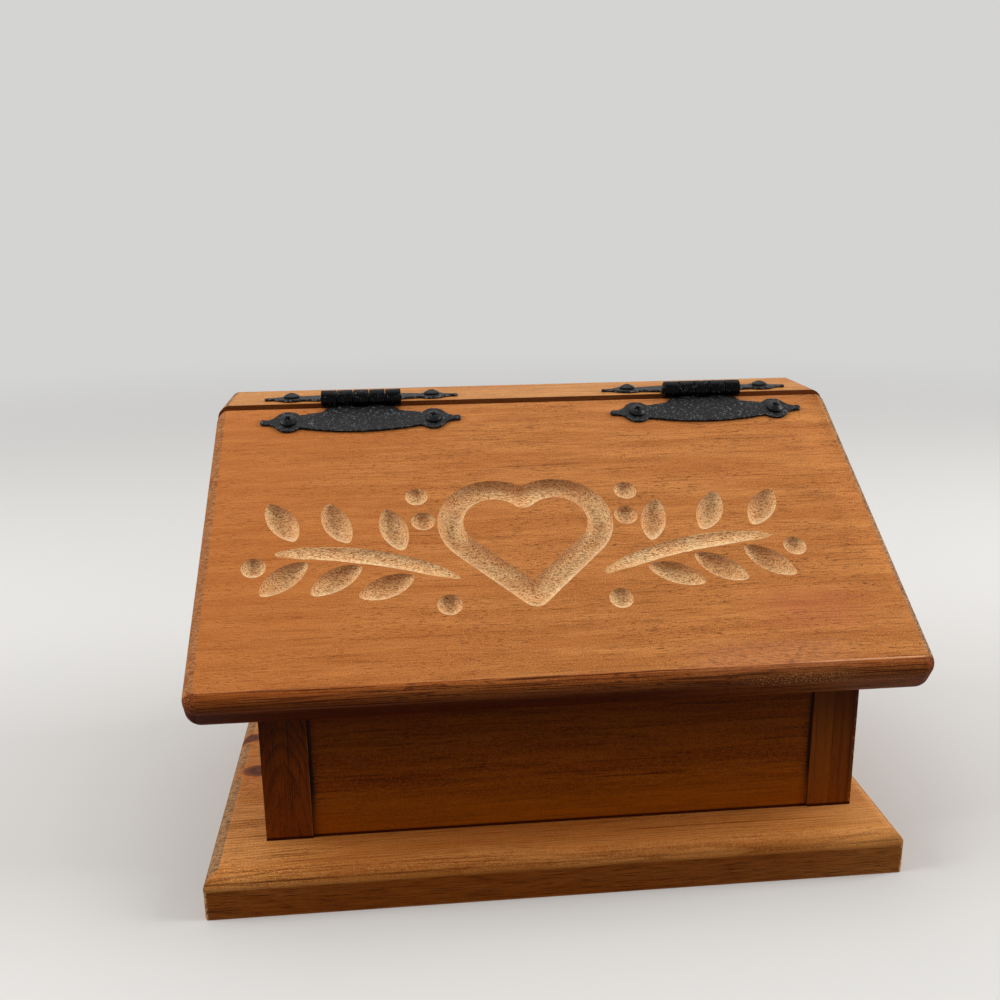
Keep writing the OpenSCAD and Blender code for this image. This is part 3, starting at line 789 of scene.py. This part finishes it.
def raw_pine():
    """Bare wood where the bit went through the finish: straw yellow, furry and speckled with torn pores."""
    sheet = Finish("raw_pine")
    along, across, through = sheet.parts(sheet.own_place(hinge_point / MM, lid_slope))
    pore = sheet.specks((along, across, through), (0.9, 0.5, 0.5), roughness=0.6)
    tear = sheet.specks((along, across, through), (2.4, 0.9, 0.9))
    tone = sheet.specks((along, across, through), (16, 9, 4), detail=1.0)
    colour = sheet.mixed(sheet.over(tone, 0.3, 0.7), tint(255, 212, 152), tint(250, 192, 130))
    fur = sheet.specks((along, across, through), (1.7, 0.45, 0.45), roughness=0.6)
    colour = sheet.mixed(0.35 * sheet.over(tear, 0.48, 0.62), colour, tint(206, 138, 84))
    colour = sheet.mixed(0.6 * sheet.over(fur, 0.52, 0.57), colour, tint(168, 102, 54))
    colour = sheet.mixed(0.8 * sheet.over(pore, 0.555, 0.61), colour, tint(132, 66, 28))

    # Painted shade darkens and reddens walls facing down the slope, and painted light pales those facing up
    # it
    _, up_slope_facing, _ = sheet.parts(sheet.levelled(sheet.facing(), lid_slope))
    colour = sheet.mixed(0.45 * sheet.over(-up_slope_facing, 0.25, 0.8), colour, tint(150, 78, 38))
    colour = sheet.mixed(0.4 * sheet.over(up_slope_facing, 0.1, 0.7), colour, tint(255, 232, 186))
    rim = sheet.over(through, lid_face - 0.5, lid_face)
    colour = sheet.mixed(0.5 * rim, colour, tint(206, 150, 88))
    sheet.paint(colour, roughness=0.7 + 0.25 * pore, specular=0.25)
    sheet.bump(tear * 0.4 - pore - fur * 0.8, fur_depth)
    return sheet.material


lid.data.materials.clear()
lid.data.materials.append(lid_pine)
lid.data.materials.append(raw_pine())
for face in lid.data.polygons:
    face.use_smooth = True
    middle = lid_levelled @ face.center / MM
    face.material_index = 0
    if lid_face - bit_r < middle.z < lid_face - 0.01 and within_carving(middle):
        face.material_index = 1
lid.data.set_sharp_from_angle(angle=math.radians(25))
lid.modifiers.new("even_faces", "WEIGHTED_NORMAL").keep_sharp = True
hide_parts("lid_board")
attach(lid, "lid")

# Hinges
# Two surface hinges of black lacquered iron, with spear ends and the shallow dents of a hammer.
# The knuckles are rolled round pins, and the pins' ends show beside them.

lacquer_depth = 0.00012


def black_iron(name, rolled):
    """Lacquered iron with painted highlights in grey curls on its dents, and blacker and glossier where it is
    rolled.
    """
    sheet = Finish(name)
    x, y, z = sheet.parts(sheet.place())
    grit = sheet.specks((x, y, z), (0.35, 0.35, 0.35))
    if rolled:
        # Painted highlights: pale diagonal dashes in loose crowds on the rolled iron
        slash = sheet.specks((x + 1.1 * y, y - x, z), (0.42, 1.9, 1.2), detail=1.0)
        crowd = sheet.specks((x, y, z), (3.2, 3.2, 3.2), detail=1.0)
        wear_and_glints = sheet.over(slash, 0.62, 0.68) * sheet.over(crowd, 0.5, 0.58)
        colour = sheet.mixed(0.3 * wear_and_glints, tint(3, 3, 4), tint(160, 162, 168))
        relief = grit * 0.12 - wear_and_glints * 0.4
        sheet.paint(colour, roughness=0.16 + 0.1 * grit, specular=0.08)
    else:
        swirl = sheet.specks((x, y, z), (1.5, 1.5, 1.5), detail=0.5)
        crowd = sheet.noise(sheet.point(x / 1.9 + 7, y / 1.9, z / 1.9), detail=1.0)
        # Painted highlights: thin grey curls on the hammer's dents
        curl_highlight = sheet.band(swirl, 0.5, 0.006, 0.03) * sheet.over(crowd, 0.44, 0.56)
        colour = sheet.mixed(0.5 * sheet.over(grit, 0.5, 0.7), tint(10, 10, 11), tint(26, 26, 28))
        colour = sheet.mixed(curl_highlight * 0.52, colour, tint(138, 140, 146))
        # Painted glints along the leaves' edges, broken into dashes
        _, _, lift = sheet.parts(sheet.facing())
        wear_and_glints = sheet.over(sheet.specks((x, y, z), (1.6, 1.6, 1.6)), 0.5, 0.6)
        colour = sheet.mixed(sheet.band(lift, 0.28, 0.2, 0.14) * wear_and_glints * 0.6, colour, tint(158, 154, 150))
        relief = grit * 0.5 + curl_highlight * 0.6
        sheet.paint(colour, roughness=0.36 + 0.26 * grit, specular=0.17)
    sheet.bump(relief, lacquer_depth)
    return sheet.material


plate_iron = black_iron("hammered_iron", rolled=False)
knuckle_iron = black_iron("knuckle_iron", rolled=True)
knuckle_reach = 4.4
dent_w = 2.3
dent_depth = 0.13
strike_count = 900
skin_cell = 0.32
skin_excess = 0.02
hammer = random.Random(21)


def hammered(node):
    """A copy of a hinge leaf with an even skin, which the hammer has dented all over."""
    leaf = bpy.data.objects.new(node + "_hammered", closed_copy(node))
    bpy.context.scene.collection.objects.link(leaf)
    skin = leaf.modifiers.new("skin", "REMESH")
    skin.mode = "VOXEL"
    skin.voxel_size = skin_cell * MM
    leaf.data = settled(leaf)
    leaf.modifiers.clear()
    form = bmesh.new()
    form.from_mesh(leaf.data)
    form.normal_update()
    for _ in range(2):
        bmesh.ops.smooth_vert(form, verts=form.verts, factor=0.5,
            use_axis_x=True, use_axis_y=True, use_axis_z=True)
    form.normal_update()
    low, high = corners_of(node)
    strikes = kdtree.KDTree(strike_count)
    for number in range(strike_count):
        strikes.insert([hammer.uniform(low[axis], high[axis]) for axis in range(3)], number)
    strikes.balance()
    for corner in form.verts:
        dent = 0
        for _, number, away in strikes.find_range(corner.co / MM, dent_w):
            share = 1 - (away / dent_w) ** 2
            dent = max(dent, share * share * (0.5 + 0.5 * (number % 7) / 6))
        corner.co -= corner.normal * (skin_excess + dent * dent_depth) * MM
    form.to_mesh(leaf.data)
    form.free()
    leaf.data.materials.clear()
    leaf.data.materials.append(plate_iron)
    leaf.data.materials.append(knuckle_iron)
    for face in leaf.data.polygons:
        face.use_smooth = True
        off_axis = (face.center - hinge_point).yz.length / MM
        face.material_index = int(off_axis < knuckle_reach)
    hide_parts(node)
    return leaf


for side in ("left", "right"):
    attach(hammered(f"{side}_hinge_top_leaf"), "box")
    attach(hammered(f"{side}_hinge_lid_leaf"), "lid")
    finish_with(f"{side}_hinge_pin", knuckle_iron)

# Screws
# Eight pan-head screws, lacquered black like the hinges, hold the leaves, and each has a cross recess.
# Four countersunk steel screws come up through the base into the sides.

screw_gap = 65.4
screw_out = 12.9
leaf_thick = 1.3
head_h = 2.2
recess_squared = (2.9, 3.6)
recess_start = 0.32
recess_full = 0.55
grit_depth = 0.00004
hinge_middles = [sum(corner.x for corner in corners_of(f"{side}_hinge_pin")) / 2
    for side in ("left", "right")]


def recess(sheet, own, rows, crown):
    """1 in the cross recesses of the heads that lie at rows of (x, y), with their crowns at crown."""
    x, y, z = sheet.parts(own)
    nearest = 100.0
    for spot_x, spot_y in rows:
        off_x = x - spot_x
        off_y = y - spot_y
        nearest = (off_x * off_x + off_y * off_y).maths("MINIMUM", nearest)
    return sheet.under(nearest, *recess_squared) * sheet.under(z, crown - recess_full, crown - recess_start)


def screw_metal(name, shade, rub_and_highlight, polish, metal, slope=None):
    """Screw metal. rub_and_highlight is its colour where it is rubbed, and slope tilts the recesses, if it
    has any.
    """
    sheet = Finish(name)
    x, y, z = sheet.parts(sheet.place())
    grit = sheet.specks((x, y, z), (0.3, 0.3, 0.3))
    wear_and_glints = sheet.specks((x, y, z), (1.6, 1.6, 1.6))
    colour = sheet.mixed(0.7 * sheet.over(wear_and_glints, 0.5, 0.72), shade, rub_and_highlight)
    if slope is not None:
        own = sheet.own_place(hinge_point / MM, slope)
        away = screw_out if slope == 0 else -screw_out
        rows = [(middle + half * screw_gap / 2, away) for middle in hinge_middles for half in (-1, 1)]
        sunk = recess(sheet, own, rows, crown=lid_face + leaf_thick + head_h)
        # Painted shade: the cross recesses are painted near-black
        colour = sheet.mixed(0.95 * sunk, colour, tint(3, 3, 4))
    sheet.paint(colour, roughness=polish + 0.2 * grit, specular=0.2, metallic=metal)
    sheet.bump(grit, grit_depth)
    return sheet.material


black_lacquer = {"shade": tint(9, 9, 10), "rub_and_highlight": tint(36, 36, 38), "polish": 0.24, "metal": 0.1}
bright_steel = {"shade": tint(120, 118, 112), "rub_and_highlight": tint(176, 174, 168), "polish": 0.28, "metal": 0.9}
finish_with("top_leaf_screws", screw_metal("black_top_screw", slope=0, **black_lacquer))
finish_with("lid_leaf_screws", screw_metal("black_lid_screw", slope=lid_slope, **black_lacquer))
finish_with("base_screws", screw_metal("steel_screw", **bright_steel))

# Studio
# None of this is part of the box: a plain pale floor that runs into a plain pale background,
# a wide ceiling lamp, a lamp on either side, and the camera, a little left of the middle and looking down.

floor_mesh = bpy.data.meshes.new("floor")
floor_half = 8.0
floor_corners = [(-floor_half, -floor_half, 0), (floor_half, -floor_half, 0), (floor_half, floor_half, 0),
    (-floor_half, floor_half, 0)]
floor_mesh.from_pydata(floor_corners, [], [(0, 1, 2, 3)])
floor = bpy.data.objects.new("floor", floor_mesh)
bpy.context.scene.collection.objects.link(floor)


def seen_directly(sheet):
    """1 for what the camera sees itself, in gloss or through glass, and 0 for light that bounces."""
    rays = [sheet.node("ShaderNodeLightPath", [], output=kind + " Ray")
        for kind in ("Is Camera", "Is Glossy", "Is Transmission")]
    return rays[0].maths("MAXIMUM", rays[1]).maths("MAXIMUM", rays[2])


backdrop_colour = (1.0, 0.995, 0.985, 1.0)
backdrop_shade = 0.66
floor_sheet = Finish("pale_floor")
direct = seen_directly(floor_sheet)
far = floor_sheet.node("ShaderNodeVectorMath", [floor_sheet.place()], output="Value", operation="LENGTH")
fade = floor_sheet.over(far, 420, 1500)
speckle = floor_sheet.noise(floor_sheet.place())
shown = floor_sheet.mixed(0.04 * speckle, tint(217, 215, 212), tint(190, 188, 186))
floor_colour = floor_sheet.mixed(direct, tint(112, 109, 106), shown)
floor_sheet.paint(floor_sheet.mixed(fade, floor_colour, tint(0, 0, 0)), roughness=0.8, specular=0.0)
floor_sheet.surface.inputs["Emission Color"].default_value = backdrop_colour
floor_sheet.feed(floor_sheet.surface.inputs["Emission Strength"], direct * fade * backdrop_shade)
floor_mesh.materials.append(floor_sheet.material)

world = bpy.data.worlds.new("studio")
bpy.context.scene.world = world
world.use_nodes = True
sky = world.node_tree.nodes["Background"]
sky.inputs["Color"].default_value = backdrop_colour
air = Sheet(world.node_tree)
bounce_share = 0.2
air.feed(sky.inputs["Strength"], bounce_share + (backdrop_shade - bounce_share) * seen_directly(air))


def softbox(name, place, aim, size, power):
    """A square lamp at place that shines towards aim."""
    lamp = bpy.data.lights.new(name, "AREA")
    lamp.shape = "SQUARE"
    lamp.size = size
    lamp.energy = power
    holder = bpy.data.objects.new(name, lamp)
    holder.location = place
    holder.rotation_mode = "QUATERNION"
    holder.rotation_quaternion = (Vector(aim) - Vector(place)).to_track_quat("-Z", "Y")
    bpy.context.scene.collection.objects.link(holder)


softbox("ceiling", place=(-0.1, 0.35, 1.7), aim=(0, 0, 0.1), size=1.8, power=15.5)
softbox("left_lamp", place=(-1.2, -0.1, 0.75), aim=(0, 0, 0.03), size=0.7, power=11)
softbox("right_lamp", place=(1.2, -0.1, 0.75), aim=(0, 0, 0.03), size=0.7, power=13)

camera = bpy.data.cameras.new("camera")
camera.sensor_width = 36
camera.lens = 38.79
camera.clip_start = 0.01
holder = bpy.data.objects.new("camera", camera)
bpy.context.scene.collection.objects.link(holder)
bpy.context.scene.camera = holder
camera_turn, camera_dip, camera_roll = [math.radians(a) for a in (-5.363, -15.486, 0.651)]
holder.rotation_mode = "QUATERNION"
holder.rotation_quaternion = (Matrix.Rotation(camera_turn, 3, "Z") @ Matrix.Rotation(camera_dip, 3, "X")
    @ Matrix.Rotation(camera_roll, 3, "Y") @ Matrix.Rotation(math.radians(90), 3, "X")).to_quaternion()
holder.location = Vector((-60.09, -451.96, 257.21)) * MM
bpy.context.scene.view_settings.view_transform = "Standard"
